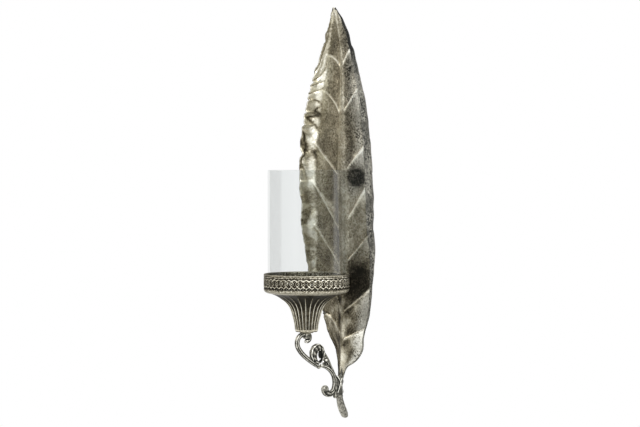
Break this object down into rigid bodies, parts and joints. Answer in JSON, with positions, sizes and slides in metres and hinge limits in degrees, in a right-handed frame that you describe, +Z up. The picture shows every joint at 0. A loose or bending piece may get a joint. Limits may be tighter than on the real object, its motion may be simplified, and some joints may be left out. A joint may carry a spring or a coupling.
{
  "type": "wall sconce candle holder",
  "caption": "Wall sconce: a long pressed leaf on a stem, a scroll arm with a fluted bell, and a pierced gallery cup that holds a loose glass cylinder.",
  "frame": {"origin": "centre of the keyhole's round hole, in the rear face of the hanger plate, in the wall plane", "axes": "+Z up along the leaf, +Y into the wall, the cup stands out towards -Y"},
  "size_m": [0.1229, 0.1246, 0.5231],
  "materials": {
    "leaf_metal": "antique silver, hammered and mottled",
    "cast_metal": "antique silver casting with dark recesses",
    "cup_metal": "antique silver, pierced and fluted, dark recesses",
    "glass": "clear",
    "fastener_steel": "zinc-plated steel",
    "hanger_steel": "bent sheet steel, dull silver"
  },
  "bodies": {
    "frame": {"leaf_blade": "leaf_metal", "leaf_stem": "cast_metal", "hanger_plate": "hanger_steel", "scroll_arm": "cast_metal", "arm_screws": "fastener_steel", "cup_collar": "cup_metal", "cup_bell": "cup_metal", "gallery_base_ring": "cup_metal", "gallery_band": "cup_metal", "gallery_top_bead": "cup_metal", "candle_pan": "cup_metal", "cup_stud": "fastener_steel", "stud_washer": "fastener_steel", "stud_nut": "fastener_steel"},
    "glass": {"glass_cylinder": "glass"}
  },
  "joints": [
    {"name": "glass_lift", "type": "slide", "parent": "frame", "child": "glass", "axis": [0, 0, 1], "range_m": [0, 0.16]}
  ]
}
